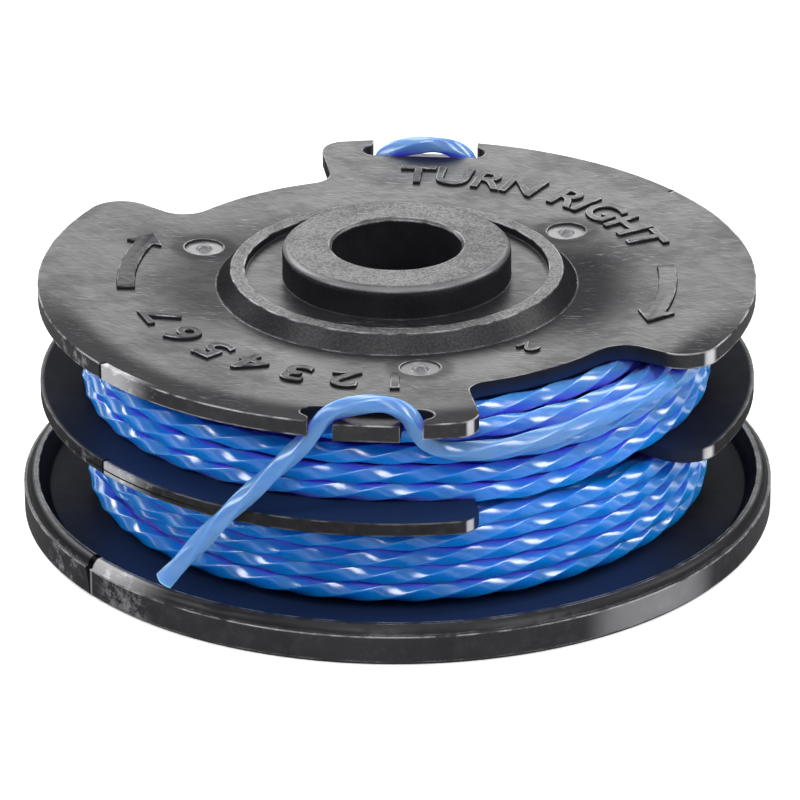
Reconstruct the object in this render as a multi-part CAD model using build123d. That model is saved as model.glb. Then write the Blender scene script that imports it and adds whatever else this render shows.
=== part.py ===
from build123d import *

import math
import os

# Sizes in millimetres and degrees. The spool's axis is Z, it stands on Z = 0 and its front notch faces -Y.

# Lower flange, with the raised rim that keeps the bottom turns in
LOWER_FLANGE_OVERHANG = 2.2
LOWER_FLANGE_THICKNESS = 2.6
LOWER_EDGE_CHAMFER = 0.4
RIM_WALL_HEIGHT = 3.5
RIM_LEDGE = 0.35
RIM_CREST_HEIGHT = 4.5
RIM_CREST_INSET = 1.2
RIM_CREST_WIDTH = 0.45
RIM_FOOT_INSET = 3.0
RIM_BULGE = 0.12

# Core that the line is wound on
CORE_RADIUS = 29.0
CORE_WALL = 2.4
LOWER_CHAMBER_HEIGHT = 12.0
UPPER_CHAMBER_HEIGHT = 9.5

# Middle and upper flanges, which share one outline
MIDDLE_FLANGE_THICKNESS = 1.5
UPPER_FLANGE_THICKNESS = 1.8
UPPER_FLANGE_DISH = 2.5
CUTAWAY_LEDGE = 1.1
CUTAWAY_SPAN = 40.3
CUTAWAY_WALL_LEAN = 5.0
CUTAWAY_INNER_FILLET_NOTCH_SIDE = 2.5
CUTAWAY_INNER_FILLET_LOBE_SIDE = 3.6
CUTAWAY_OUTER_FILLET_NOTCH_SIDE = 2.8
CUTAWAY_OUTER_FILLET_LOBE_SIDE = 4.0
CUTAWAY_FILLET_LIMIT = 0.4

# Line notches in the upper flange, each with a lowered tab that the line is looped over
NOTCH_WIDTH = 14.6
NOTCH_DEPTH = 2.9
NOTCH_LIP = 1.9
NOTCH_MOUTH_WIDTH = 12.5
NOTCH_HOOK_SPAN = 7.46
NOTCH_HOOK_ROUND = 1.0
TAB_WIDTH = 7.3
TAB_LENGTH = 2.9
TAB_TOP_DROP = 0.8
TAB_THICKNESS = 1.95
TAB_ROOT = 1.0

# Raised ring, boss and bore
RING_INNER_RADIUS = 17.3
RING_CREST_WIDTH = 1.6
RING_SKIRT_WIDTH = 1.65
RING_HEIGHT = 1.9
GROOVE_DEPTH = 0.9
BOSS_RADIUS = 13.0
BOSS_HEIGHT = 3.75
BOSS_EDGE_RADIUS = 0.9
BORE_RADIUS = 7.4
BORE_CHAMFER = 0.3

# Gate marks: a nub in a shallow round dimple
GATE_COUNT = 3
GATE_RING_GAP = 1.5
GATE_FIRST_ANGLE = 41.0
GATE_DIMPLE_RADIUS = 2.25
GATE_DIMPLE_DEPTH = 0.25
GATE_NUB_RADIUS = 1.1
GATE_NUB_HEIGHT = 0.55

# Underside: hub tube, ribs under the web and feed lugs inside the core
WEB_THICKNESS = 2.9
HUB_WALL = 3.0
HUB_FOOT_HEIGHT = 1.0
RIB_COUNT = 6
RIB_THICKNESS = 1.6
RIB_DEPTH = 5.0
LUG_COUNT = 8
LUG_WIDTH = 5.0
LUG_DEPTH = 2.2
LUG_FOOT_HEIGHT = 1.5
LUG_HEIGHT = 11.5
JOIN_OVERLAP = 0.5

# Line and its windings
LINE_DIAMETER = 2.0
LINE_CLEARANCE = 0.15
WINDING_DEPTH = 6.4
WINDING_NOTCH_GAP = 0.6
TURN_RELIEF = 0.75
LOWER_WINDING_RAISE = 1.0
LOWER_TURN_OFFSETS = (-0.15, 0.2, 0.0, 0.25, 0.05)
UPPER_TURN_OFFSETS = (0.1, 0.25, 0.0, 0.15)
TOP_TURN_COUNT = 3

# A tail's arcs take this share of the shorter run beside each corner
ARC_SHARE = 0.45

# Route of the front tail: off the upper winding, over the front tab and down to its cut end
FRONT_TAIL_POINTS = (
    (31.77, -18.90, 24.10),
    (28.96, -23.03, 24.05),
    (25.35, -26.95, 23.70),
    (21.10, -30.40, 23.10),
    (16.50, -33.15, 22.70),
    (12.10, -35.00, 22.55),
    (8.60, -36.15, 22.90),
    (6.35, -36.90, 24.10),
    (5.25, -37.40, 26.20),
    (4.10, -37.45, 28.45),
    (1.55, -37.30, 29.60),
    (-1.30, -37.30, 29.60),
    (-4.10, -37.45, 28.25),
    (-5.50, -37.65, 26.15),
    (-7.10, -38.45, 24.00),
    (-10.40, -39.50, 21.00),
    (-15.40, -40.45, 16.20),
    (-19.10, -40.90, 11.90),
    (-22.05, -41.10, 8.50),
)

# Route of the rear tail: up from the lower winding through the cut-away and over the rear tab
REAR_TAIL_POINTS = (
    (-34.35, 13.87, 10.40),
    (-32.05, 18.50, 11.20),
    (-29.15, 22.78, 12.60),
    (-25.70, 26.61, 14.70),
    (-21.75, 29.93, 17.10),
    (-17.37, 32.67, 19.60),
    (-12.65, 34.76, 21.80),
    (-8.70, 36.10, 23.10),
    (-6.35, 36.90, 24.40),
    (-5.30, 37.40, 26.30),
    (-4.10, 37.45, 28.45),
    (-1.20, 37.30, 29.75),
    (1.75, 37.30, 29.85),
    (4.35, 37.45, 28.35),
    (5.60, 37.65, 26.15),
    (7.20, 38.45, 24.00),
    (10.50, 39.50, 21.00),
    (15.50, 40.45, 16.20),
    (19.20, 40.90, 11.90),
    (22.15, 41.10, 8.50),
)

# Radii that follow from the sizes above, from the core outwards to the lower flange's edge
CORE_INNER_RADIUS = CORE_RADIUS - CORE_WALL
CUTAWAY_RADIUS = CORE_RADIUS + CUTAWAY_LEDGE
WINDING_RADIUS = CORE_RADIUS + WINDING_DEPTH
NOTCH_BACK = WINDING_RADIUS + WINDING_NOTCH_GAP
NOTCH_MIDDLE = NOTCH_BACK + NOTCH_DEPTH / 2
TAB_END = NOTCH_BACK + TAB_LENGTH
FLANGE_RADIUS = NOTCH_BACK + NOTCH_DEPTH + NOTCH_LIP
LOWER_FLANGE_RADIUS = FLANGE_RADIUS + LOWER_FLANGE_OVERHANG

# Sides of the front cut-away, as angles from +X: a hook lies between it and the notch, which faces -90
NOTCH_END_ANGLE = math.degrees(math.asin(NOTCH_WIDTH / 2 / NOTCH_MIDDLE)) - 90
CUTAWAY_NOTCH_SIDE = NOTCH_END_ANGLE + NOTCH_HOOK_SPAN
CUTAWAY_LOBE_SIDE = CUTAWAY_NOTCH_SIDE + CUTAWAY_SPAN

# Radii that follow near the axis
HUB_RADIUS = BORE_RADIUS + HUB_WALL
RING_CREST_RADIUS = RING_INNER_RADIUS + RING_CREST_WIDTH
RING_BASE_RADIUS = RING_CREST_RADIUS + RING_SKIRT_WIDTH
GATE_CIRCLE_RADIUS = RING_BASE_RADIUS + GATE_RING_GAP + GATE_DIMPLE_RADIUS

# Heights that follow
HALF_TURNS = (0.0, 180.0)
DISH_SLOPE = math.tan(math.radians(UPPER_FLANGE_DISH))
CHAMBER_FLOOR = LOWER_FLANGE_THICKNESS
MIDDLE_FLANGE_UNDERSIDE = CHAMBER_FLOOR + LOWER_CHAMBER_HEIGHT
MIDDLE_FLANGE_TOP = MIDDLE_FLANGE_UNDERSIDE + MIDDLE_FLANGE_THICKNESS
UPPER_FLANGE_UNDERSIDE = MIDDLE_FLANGE_TOP + UPPER_CHAMBER_HEIGHT


def dish_top(radius):
    """Height of the upper flange's dished top face at a radius."""
    return UPPER_FLANGE_UNDERSIDE + UPPER_FLANGE_THICKNESS + (radius - CORE_RADIUS) * DISH_SLOPE


RING_CREST = dish_top(RING_BASE_RADIUS) + RING_HEIGHT
GROOVE_FLOOR = RING_CREST - GROOVE_DEPTH
BOSS_TOP = GROOVE_FLOOR + BOSS_HEIGHT
WEB_UNDERSIDE = GROOVE_FLOOR - WEB_THICKNESS


def polar(radius, angle):
    """Point in the XY plane at a radius and an angle in degrees."""
    return (radius * math.cos(math.radians(angle)), radius * math.sin(math.radians(angle)))


def corners_at(sketch, points):
    """The sketch's corners that lie nearest to the given points."""
    return ShapeList(sketch.vertices().sort_by_distance((*point, 0))[0] for point in points)


def round_corners(sketch, radius, angle, fillet_radius):
    """The sketch with the corner at a radius and an angle, and its twin half a turn on, rounded."""
    twins = [polar(radius, angle + half_turn) for half_turn in HALF_TURNS]
    return fillet(corners_at(sketch, twins), fillet_radius)


def turned(outline):
    """Solid of revolution about Z of a closed line drawn as radius and height."""
    return revolve(Plane.XZ * make_face(outline), Axis.Z)


def turned_body():
    """Lower flange, core, web, ring, boss and hub as one turned form."""
    edge = LOWER_FLANGE_RADIUS
    crest_outer = edge - RIM_CREST_INSET
    crest_inner = crest_outer - RIM_CREST_WIDTH
    ledge = (edge - RIM_LEDGE, RIM_WALL_HEIGHT)
    crest = (crest_outer, RIM_CREST_HEIGHT)
    slope_middle = (
        (ledge[0] + crest[0]) / 2 + RIM_BULGE,
        (ledge[1] + crest[1]) / 2 + RIM_BULGE,
    )
    seat = UPPER_FLANGE_UNDERSIDE + JOIN_OVERLAP
    ring_taper = (RING_BASE_RADIUS - RING_CREST_RADIUS) / RING_HEIGHT
    ring_foot = RING_CREST_RADIUS + (RING_CREST - seat) * ring_taper
    boss_round = BOSS_EDGE_RADIUS
    outline = Polyline(
        (BORE_RADIUS, BOSS_TOP - BORE_CHAMFER),
        (BORE_RADIUS, HUB_FOOT_HEIGHT),
        (HUB_RADIUS, HUB_FOOT_HEIGHT),
        (HUB_RADIUS, WEB_UNDERSIDE),
        (CORE_INNER_RADIUS, WEB_UNDERSIDE),
        (CORE_INNER_RADIUS, 0),
        (edge - LOWER_EDGE_CHAMFER, 0),
        (edge, LOWER_EDGE_CHAMFER),
        (edge, RIM_WALL_HEIGHT),
        ledge,
    )
    outline += ThreePointArc(ledge, slope_middle, crest)
    outline += Polyline(
        crest,
        (crest_inner, RIM_CREST_HEIGHT),
        (edge - RIM_FOOT_INSET, CHAMBER_FLOOR),
        (CORE_RADIUS, CHAMBER_FLOOR),
        (CORE_RADIUS, seat),
        (ring_foot, seat),
        (RING_CREST_RADIUS, RING_CREST),
        (RING_INNER_RADIUS, RING_CREST),
        (RING_INNER_RADIUS, GROOVE_FLOOR),
        (BOSS_RADIUS, GROOVE_FLOOR),
        (BOSS_RADIUS, BOSS_TOP - boss_round),
    )
    outline += RadiusArc(
        (BOSS_RADIUS, BOSS_TOP - boss_round),
        (BOSS_RADIUS - boss_round, BOSS_TOP),
        -boss_round,
    )
    outline += Polyline(
        (BOSS_RADIUS - boss_round, BOSS_TOP),
        (BORE_RADIUS + BORE_CHAMFER, BOSS_TOP),
        (BORE_RADIUS, BOSS_TOP - BORE_CHAMFER),
    )
    return turned(outline)


def cutaway_sector():
    """Sector cut out of a flange: its wall on the lobe's side is radial, the one by the notch leans."""
    reach = 2 * FLANGE_RADIUS
    wall_middle = Vector(*polar((CUTAWAY_RADIUS + FLANGE_RADIUS) / 2, CUTAWAY_NOTCH_SIDE))
    wall = Vector(*polar(1, CUTAWAY_NOTCH_SIDE - CUTAWAY_WALL_LEAN))
    wedge = Polyline(
        (0, 0),
        wall_middle - wall * (FLANGE_RADIUS - CUTAWAY_RADIUS),
        wall_middle + wall * reach,
        polar(reach, CUTAWAY_LOBE_SIDE),
        close=True,
    )
    return make_face(wedge) - Circle(CUTAWAY_RADIUS)


def flange_outline():
    """Round outline with two cut-away sectors, their corners rounded."""
    sector = cutaway_sector()
    outline = Circle(FLANGE_RADIUS)
    for half_turn in HALF_TURNS:
        outline -= Rot(0, 0, half_turn) * sector
    roundings = (
        (CUTAWAY_RADIUS, CUTAWAY_NOTCH_SIDE, CUTAWAY_INNER_FILLET_NOTCH_SIDE),
        (CUTAWAY_RADIUS, CUTAWAY_LOBE_SIDE, CUTAWAY_INNER_FILLET_LOBE_SIDE),
        (FLANGE_RADIUS, CUTAWAY_NOTCH_SIDE, CUTAWAY_OUTER_FILLET_NOTCH_SIDE),
        (FLANGE_RADIUS, CUTAWAY_LOBE_SIDE, CUTAWAY_OUTER_FILLET_LOBE_SIDE),
    )
    widest = CUTAWAY_FILLET_LIMIT * (FLANGE_RADIUS - CUTAWAY_RADIUS)
    for radius, side, fillet_radius in roundings:
        outline = round_corners(outline, radius, side, min(fillet_radius, widest))
    return outline


def notch_outline():
    """Line notch facing -Y: a round-ended pocket behind two rounded hooks, with an open mouth."""
    mouth_depth = 2 * (FLANGE_RADIUS - NOTCH_MIDDLE)
    pocket = Pos(0, -NOTCH_MIDDLE) * SlotOverall(NOTCH_WIDTH, NOTCH_DEPTH)
    mouth = Pos(0, -FLANGE_RADIUS) * Rectangle(NOTCH_MOUTH_WIDTH, mouth_depth)
    outline = pocket + mouth
    hooks = [(side * NOTCH_MOUTH_WIDTH / 2, -NOTCH_MIDDLE - NOTCH_DEPTH / 2) for side in (-1, 1)]
    return fillet(corners_at(outline, hooks), NOTCH_HOOK_ROUND)


def middle_flange(outline):
    """Flat flange between the two chambers."""
    disc = Pos(0, 0, MIDDLE_FLANGE_UNDERSIDE) * extrude(outline, MIDDLE_FLANGE_THICKNESS)
    return disc - Cylinder(CORE_RADIUS - JOIN_OVERLAP, 2 * BOSS_TOP)


def upper_flange(outline):
    """Dished flange with its cut-aways and line notches, and a lowered tab in each notch."""
    inner = RING_CREST_RADIUS
    outer = LOWER_FLANGE_RADIUS + FLANGE_RADIUS
    dish = turned(
        Polyline(
            (inner, dish_top(inner) - UPPER_FLANGE_THICKNESS),
            (outer, dish_top(outer) - UPPER_FLANGE_THICKNESS),
            (outer, dish_top(outer)),
            (inner, dish_top(inner)),
            close=True,
        )
    )
    notched = outline
    for half_turn in HALF_TURNS:
        notched -= Rot(0, 0, half_turn) * notch_outline()
    flange = dish & Pos(0, 0, MIDDLE_FLANGE_TOP) * extrude(notched, BOSS_TOP)
    for half_turn in HALF_TURNS:
        flange += Rot(0, 0, half_turn) * tab()
    return flange


def tab():
    """Tab in the front notch, a step lower than the flange and rooted in its back wall."""
    top = dish_top(NOTCH_BACK) - TAB_TOP_DROP
    root_underside = dish_top(NOTCH_BACK) - UPPER_FLANGE_THICKNESS + LINE_CLEARANCE
    side = make_face(
        Polyline(
            (-TAB_END, top - TAB_THICKNESS),
            (-NOTCH_BACK, top - TAB_THICKNESS),
            (-NOTCH_BACK, root_underside),
            (-NOTCH_BACK + TAB_ROOT, root_underside),
            (-NOTCH_BACK + TAB_ROOT, top),
            (-TAB_END, top),
            close=True,
        )
    )
    return extrude(Plane.YZ * side, TAB_WIDTH / 2, both=True)


def gate_marks():
    """Places of the gate marks on the dished face."""
    angles = [GATE_FIRST_ANGLE + mark * 360 / GATE_COUNT for mark in range(GATE_COUNT)]
    return [Pos(*polar(GATE_CIRCLE_RADIUS, angle), dish_top(GATE_CIRCLE_RADIUS)) for angle in angles]


def feed_lugs():
    """Lugs inside the core that the feed lever catches."""
    inner = CORE_INNER_RADIUS - LUG_DEPTH
    reach = LUG_DEPTH + JOIN_OVERLAP
    lug = Pos(inner + reach / 2, 0, LUG_FOOT_HEIGHT + LUG_HEIGHT / 2) * Box(reach, LUG_WIDTH, LUG_HEIGHT)
    step = 360 / LUG_COUNT
    return [Rot(0, 0, (place + 0.5) * step) * lug for place in range(LUG_COUNT)]


def web_ribs():
    """Ribs under the web, from the hub to the core."""
    inner = HUB_RADIUS - JOIN_OVERLAP
    outer = CORE_INNER_RADIUS + JOIN_OVERLAP
    height = RIB_DEPTH + JOIN_OVERLAP
    middle = WEB_UNDERSIDE + JOIN_OVERLAP - height / 2
    rib = Pos((inner + outer) / 2, 0, middle) * Box(outer - inner, RIB_THICKNESS, height)
    return [Rot(0, 0, place * 360 / RIB_COUNT) * rib for place in range(RIB_COUNT)]


def spool_body():
    """The moulded spool, all in one piece."""
    outline = flange_outline()
    body = turned_body() + middle_flange(outline) + upper_flange(outline)
    body += feed_lugs() + web_ribs()
    nub_drop = GATE_DIMPLE_DEPTH + GATE_NUB_RADIUS - GATE_NUB_HEIGHT
    for mark in gate_marks():
        body -= mark * Cylinder(GATE_DIMPLE_RADIUS, 2 * GATE_DIMPLE_DEPTH)
        body += mark * Pos(0, 0, -nub_drop) * Sphere(GATE_NUB_RADIUS)
    return body


def ridged_run(start, end, relief, offsets):
    """Row of round turns between two points, each bulging to the right of the way they run."""
    start, end = Vector(*start), Vector(*end)
    step = (end - start) / len(offsets)
    outward = Vector(step.Y, -step.X).normalized()
    arcs = []
    for turn, offset in enumerate(offsets):
        foot = start + step * turn
        crown = foot + step / 2 + outward * (relief + offset)
        arcs.append(ThreePointArc(foot, crown, foot + step))
    return arcs


def winding(bottom, top, side_offsets, top_offsets):
    """Wound line as one ring, its turns standing out round the side and, if asked, on the top."""
    inner = CORE_RADIUS + LINE_CLEARANCE
    outer = WINDING_RADIUS - TURN_RELIEF
    side_top = top - TURN_RELIEF if top_offsets else top
    line = Polyline((inner, side_top), (inner, bottom), (outer, bottom))
    for arc in ridged_run((outer, bottom), (outer, side_top), TURN_RELIEF, side_offsets):
        line += arc
    if top_offsets:
        for arc in ridged_run((outer, side_top), (inner, side_top), TURN_RELIEF, top_offsets):
            line += arc
    else:
        line += Line((outer, side_top), (inner, side_top))
    return turned(line)


def lower_winding():
    """Line wound in the lower chamber."""
    bottom = CHAMBER_FLOOR + LOWER_WINDING_RAISE
    return winding(bottom, MIDDLE_FLANGE_UNDERSIDE - LINE_CLEARANCE, LOWER_TURN_OFFSETS, ())


def upper_winding():
    """Line wound in the upper chamber, its top turns open to view through the cut-aways."""
    bottom = MIDDLE_FLANGE_TOP + LINE_CLEARANCE
    top = UPPER_FLANGE_UNDERSIDE - LINE_CLEARANCE
    return winding(bottom, top, UPPER_TURN_OFFSETS, (0.0,) * TOP_TURN_COUNT)


def tail(name, points):
    """Free end of the line: a round tube along straight runs joined by arcs."""
    vectors = [Vector(*point) for point in points]
    radii = []
    for before, corner, after in zip(vectors, vectors[1:], vectors[2:]):
        arriving = corner - before
        leaving = after - corner
        turn = math.radians(arriving.get_angle(leaving))
        radii.append(ARC_SHARE * min(arriving.length, leaving.length) / math.tan(turn / 2))
    path = FilletPolyline(*points, radius=radii)
    section = Plane(origin=path @ 0, z_dir=path % 0) * Circle(LINE_DIAMETER / 2)
    tube = sweep(section, path)
    expected = math.pi * LINE_DIAMETER**2 / 4 * path.length
    print(name, "arc radii", [round(radius, 1) for radius in radii])
    print(name, "length", round(path.length, 1), "volume over section times length", round(tube.volume / expected, 4))
    return tube


NODES = {
    "spool_body": spool_body(),
    "upper_line_winding": upper_winding(),
    "lower_line_winding": lower_winding(),
    "front_line_tail": tail("front tail", FRONT_TAIL_POINTS),
    "rear_line_tail": tail("rear tail", REAR_TAIL_POINTS),
}

os.makedirs("parts", exist_ok=True)
for node, solid in NODES.items():
    export_step(solid, f"parts/{node}.step")
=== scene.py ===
import logging
import math
import random
from collections.abc import Callable, Sequence
from dataclasses import dataclass
from enum import Enum

import bpy
from mathutils import Matrix, Vector


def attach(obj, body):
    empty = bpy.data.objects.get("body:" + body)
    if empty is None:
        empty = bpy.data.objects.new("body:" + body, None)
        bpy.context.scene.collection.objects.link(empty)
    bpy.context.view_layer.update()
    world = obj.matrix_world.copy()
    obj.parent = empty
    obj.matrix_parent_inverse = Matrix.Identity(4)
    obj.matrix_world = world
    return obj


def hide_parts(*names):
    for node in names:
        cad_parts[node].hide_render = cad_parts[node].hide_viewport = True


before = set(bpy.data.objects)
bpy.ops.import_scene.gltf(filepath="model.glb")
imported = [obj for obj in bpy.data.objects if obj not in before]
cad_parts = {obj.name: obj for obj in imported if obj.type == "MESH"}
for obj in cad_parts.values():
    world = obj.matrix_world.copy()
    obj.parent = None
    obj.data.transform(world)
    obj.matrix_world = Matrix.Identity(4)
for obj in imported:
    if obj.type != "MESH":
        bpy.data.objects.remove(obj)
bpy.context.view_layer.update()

Band = tuple[float, float]
Colour = tuple[float, float, float, float]
Point = tuple[float, float, float]
Socket = bpy.types.NodeSocket
Sockets = bpy.types.bpy_prop_collection

MM = 0.001
BODY = "root"
LENGTH = "line_length"
GATE_ANGLES = (41.0, 161.0, 281.0)
FRONT_RIGHT_TURN = math.radians(-43.0)
FRONT_RIGHT: Point = (math.cos(FRONT_RIGHT_TURN), math.sin(FRONT_RIGHT_TURN), 0.0)
FLAT: Point = (1.0, 1.0, 0.0)
WHOLE: Band = (0.0, 1.0)
WHITE: Colour = (1.0, 1.0, 1.0, 1.0)
RAYS = 4  # cast by a node that rounds edges or looks for shelter
LOG = logging.getLogger("trimmer_line_spool")


class Slot(Enum):
    """Material slots of the record."""

    SPOOL = "spool_plastic"
    LINE = "line_nylon"


# Small helpers


def smooth_step(share: float) -> float:
    """Share from 0 to 1, eased at both ends."""
    share = min(1.0, max(0.0, share))
    return share * share * (3.0 - 2.0 * share)


def swell(angle: float, middle: float, reach: float) -> float:
    """Soft bump round an angle.

    Args:
        angle: Angle in degrees.
        middle: Angle where the bump is highest.
        reach: Degrees from its middle to where it has died away.

    Returns:
        1 at the middle, falling to 0 at the reach.
    """
    off = abs((angle - middle + 180.0) % 360.0 - 180.0)
    return 0.5 + 0.5 * math.cos(math.pi * off / reach) if off < reach else 0.0


def polar(radius: float, angle: float, height: float) -> Vector:
    """Point at a radius, an angle in degrees and a height."""
    turn = math.radians(angle)
    return Vector((radius * math.cos(turn), radius * math.sin(turn), height))


def choose_only(piece: bpy.types.Object) -> None:
    """Select one object alone and make it the active one.

    Args:
        piece: The object.
    """
    bpy.ops.object.select_all(action="DESELECT")
    piece.select_set(True)
    bpy.context.view_layer.objects.active = piece


def in_edit_mode(piece: bpy.types.Object, *steps: Callable[[], object]) -> None:
    """Run mesh operators on all of a piece.

    Args:
        piece: The mesh object to edit.
        steps: Calls to make in edit mode, in order.
    """
    choose_only(piece)
    bpy.ops.object.mode_set(mode="EDIT")
    bpy.ops.mesh.select_all(action="SELECT")
    for step in steps:
        step()
    bpy.ops.object.mode_set(mode="OBJECT")


def smooth_sharp(piece: bpy.types.Object, angle: float) -> None:
    """Shade a piece smooth, apart from edges sharper than an angle in degrees."""
    choose_only(piece)
    bpy.ops.object.shade_smooth_by_angle(angle=math.radians(angle))


def settle(piece: bpy.types.Object, finish: bpy.types.Material, slot: Slot, *nodes: str) -> None:
    """Dress a finished piece and tie it to the frame.

    Args:
        piece: The finished piece.
        finish: Its material.
        slot: The record's material slot. Not used.
        nodes: CAD nodes that it stands for.
    """
    piece.data.materials.append(finish)
    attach(piece, BODY)
    if nodes:
        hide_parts(*nodes)
    LOG.info("%s: %d faces", piece.name, len(piece.data.polygons))


# Shader building


@dataclass(frozen=True)
class Mask:
    """A measure of the surface, eased from one range to another.

    Attributes:
        measure: Name of the measure, or of another mask.
        band: Values of the measure where the mask starts and ends.
        to: Values of the mask there.
    """

    measure: str
    band: Band = WHOLE
    to: Band = WHOLE


class Graph:
    """Places and links nodes in one shader tree, where measures and masks of the surface have names."""

    def __init__(self, tree: bpy.types.NodeTree, masks: dict[str, Mask] | None = None) -> None:
        """Start on a tree.

        Args:
            tree: The tree, which is emptied.
            masks: Masks that can be asked for by name.
        """
        self.tree = tree
        self.masks = masks or {}
        self.named: dict[str, Socket] = {}
        tree.nodes.clear()

    def __setitem__(self, name: str, socket: Socket) -> None:
        """Name a measure, or a mask that is made of others."""
        self.named[name] = socket

    def __getitem__(self, name: str) -> Socket:
        """Look up a measure or a mask.

        Args:
            name: Its name.

        Returns:
            Its socket. A mask is made when it is first asked for.
        """
        if name not in self.named:
            mask = self.masks[name]
            self.named[name] = self.span(mask.measure, mask.band, mask.to)
        return self.named[name]

    def add(self, kind: str, inputs: dict | None = None, **settings: object) -> bpy.types.Node:
        """Place a node.

        Args:
            kind: Node type, without the leading "ShaderNode".
            inputs: Values, sockets or names of masks, by input name or index.
            settings: Properties of the node itself.

        Returns:
            The node.
        """
        node = self.tree.nodes.new("ShaderNode" + kind)
        for name, value in settings.items():
            setattr(node, name, value)
        for key, value in (inputs or {}).items():
            self.feed(node.inputs[key], value)
        return node

    def feed(self, socket: Socket, value: object) -> None:
        """Link or set an input.

        Args:
            socket: The input.
            value: A socket or the name of a mask to link, or a value to set.
        """
        if isinstance(value, str):
            value = self[value]
        if isinstance(value, bpy.types.NodeSocket):
            self.tree.links.new(value, socket)
        else:
            socket.default_value = value

    def math(self, operation: str, *values: object, clamp: bool = False) -> Socket:
        """Result of a Math node."""
        node = self.add("Math", dict(enumerate(values)), operation=operation, use_clamp=clamp)
        return node.outputs[0]

    def fold(self, operation: str, first: object, *others: object) -> object:
        """Join values one after another by a Math operation.

        Args:
            operation: The operation.
            first: The first value.
            others: Further values.

        Returns:
            The result.
        """
        for other in others:
            first = self.math(operation, first, other)
        return first

    def product(self, *values: object) -> object:
        """Values multiplied together."""
        return self.fold("MULTIPLY", *values)

    def total(self, *values: object) -> object:
        """Values added together."""
        return self.fold("ADD", *values)

    def most(self, *values: object) -> object:
        """Largest of some values."""
        return self.fold("MAXIMUM", *values)

    def rest(self, share: object) -> Socket:
        """What a share leaves of the whole."""
        return self.math("SUBTRACT", 1.0, share)

    def size(self, value: object) -> Socket:
        """A value without its sign."""
        return self.math("ABSOLUTE", value)

    def off(self, value: object, middle: object) -> Socket:
        """How far a value is from a middle one."""
        return self.size(self.math("SUBTRACT", value, middle))

    def between(self, share: object, first: object, second: object) -> Socket:
        """Number moved from the first to the second by a share."""
        return self.add("Mix", {0: share, 2: first, 3: second}).outputs[0]

    def blend(self, share: object, first: object, second: object) -> Socket:
        """Colour mixed from the first to the second by a share."""
        return self.add("Mix", {0: share, 6: first, 7: second}, data_type="RGBA").outputs[2]

    def vector(self, operation: str, *values: object) -> bpy.types.Node:
        """A Vector Math node."""
        return self.add("VectorMath", dict(enumerate(values)), operation=operation)

    def measure(self, operation: str, *values: object) -> Socket:
        """Number that a Vector Math node gives."""
        return self.vector(operation, *values).outputs["Value"]

    def span(self, value: object, band: Sequence[object], to: Sequence[object] = WHOLE) -> Socket:
        """Value mapped from one range to another, held at its ends and eased between them."""
        inputs = {"Value": value, "From Min": band[0], "From Max": band[1], "To Min": to[0], "To Max": to[1]}
        return self.add("MapRange", inputs, interpolation_type="SMOOTHSTEP").outputs[0]

    def place(self) -> Socket:
        """Point on the surface, in metres."""
        return self.add("TexCoord").outputs["Object"]

    def normal(self) -> Socket:
        """Plain normal of the surface."""
        return self.add("NewGeometry").outputs["Normal"]

    def rounded(self, radius: object) -> Socket:
        """Normal with edges rounded by a radius."""
        return self.add("Bevel", {"Radius": radius}, samples=RAYS).outputs[0]

    def open_air(self, distance: float) -> Socket:
        """Share of the directions in which nothing is nearer than a distance."""
        return self.add("AmbientOcclusion", {"Distance": distance}, samples=RAYS).outputs["AO"]

    def parts(self, vector: Socket) -> Sockets:
        """X, Y and Z of a vector."""
        return self.add("SeparateXYZ", {0: vector}).outputs

    def noise(self, vector: object, scale: object, detail: float = 2.0, roughness: float = 0.5) -> Socket:
        """Noise value over a vector."""
        inputs = {"Vector": vector, "Scale": scale, "Detail": detail, "Roughness": roughness}
        return self.add("TexNoise", inputs).outputs[0]


def new_material(name: str, masks: dict[str, Mask] | None = None) -> tuple[bpy.types.Material, Graph]:
    """Make a material with an empty node tree.

    Args:
        name: Name of the material.
        masks: Masks that can be asked for by name.

    Returns:
        The material and its tree.
    """
    material = bpy.data.materials.new(name)
    material.use_nodes = True
    return material, Graph(material.node_tree, masks)


class EffectGroup:
    """A shared effect as a shader node group, built once."""

    name: str = ""
    inputs: dict[str, float] = {}
    outputs: tuple[str, ...] = ()
    masks: dict[str, Mask] = {}

    def __init__(self) -> None:
        """Make the group's sockets and nodes."""
        self.tree = bpy.data.node_groups.new(self.name, "ShaderNodeTree")
        for name, value in self.inputs.items():
            socket = self.tree.interface.new_socket(name, in_out="INPUT", socket_type="NodeSocketFloat")
            socket.default_value = value
        for name in self.outputs:
            self.tree.interface.new_socket(name, in_out="OUTPUT", socket_type="NodeSocketFloat")
        graph = Graph(self.tree, self.masks)
        given = graph.tree.nodes.new("NodeGroupInput").outputs
        made = self.wire(graph, given)
        result = graph.tree.nodes.new("NodeGroupOutput")
        for name, socket in made.items():
            graph.feed(result.inputs[name], socket)

    def wire(self, graph: Graph, given: Sockets) -> dict[str, object]:
        """Build the group's nodes.

        Args:
            graph: The group's tree.
            given: The group's input sockets.

        Returns:
            A socket for each output name.
        """
        raise NotImplementedError

    def place(self, graph: Graph, **values: object) -> Sockets:
        """Place the group in a material.

        Args:
            graph: The material's tree.
            values: Values or sockets for inputs, with _ for a space in a name.

        Returns:
            The placed group's outputs.
        """
        node = graph.add("Group", node_tree=self.tree)
        for name, value in values.items():
            graph.feed(node.inputs[name.replace("_", " ")], value)
        return node.outputs


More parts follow.
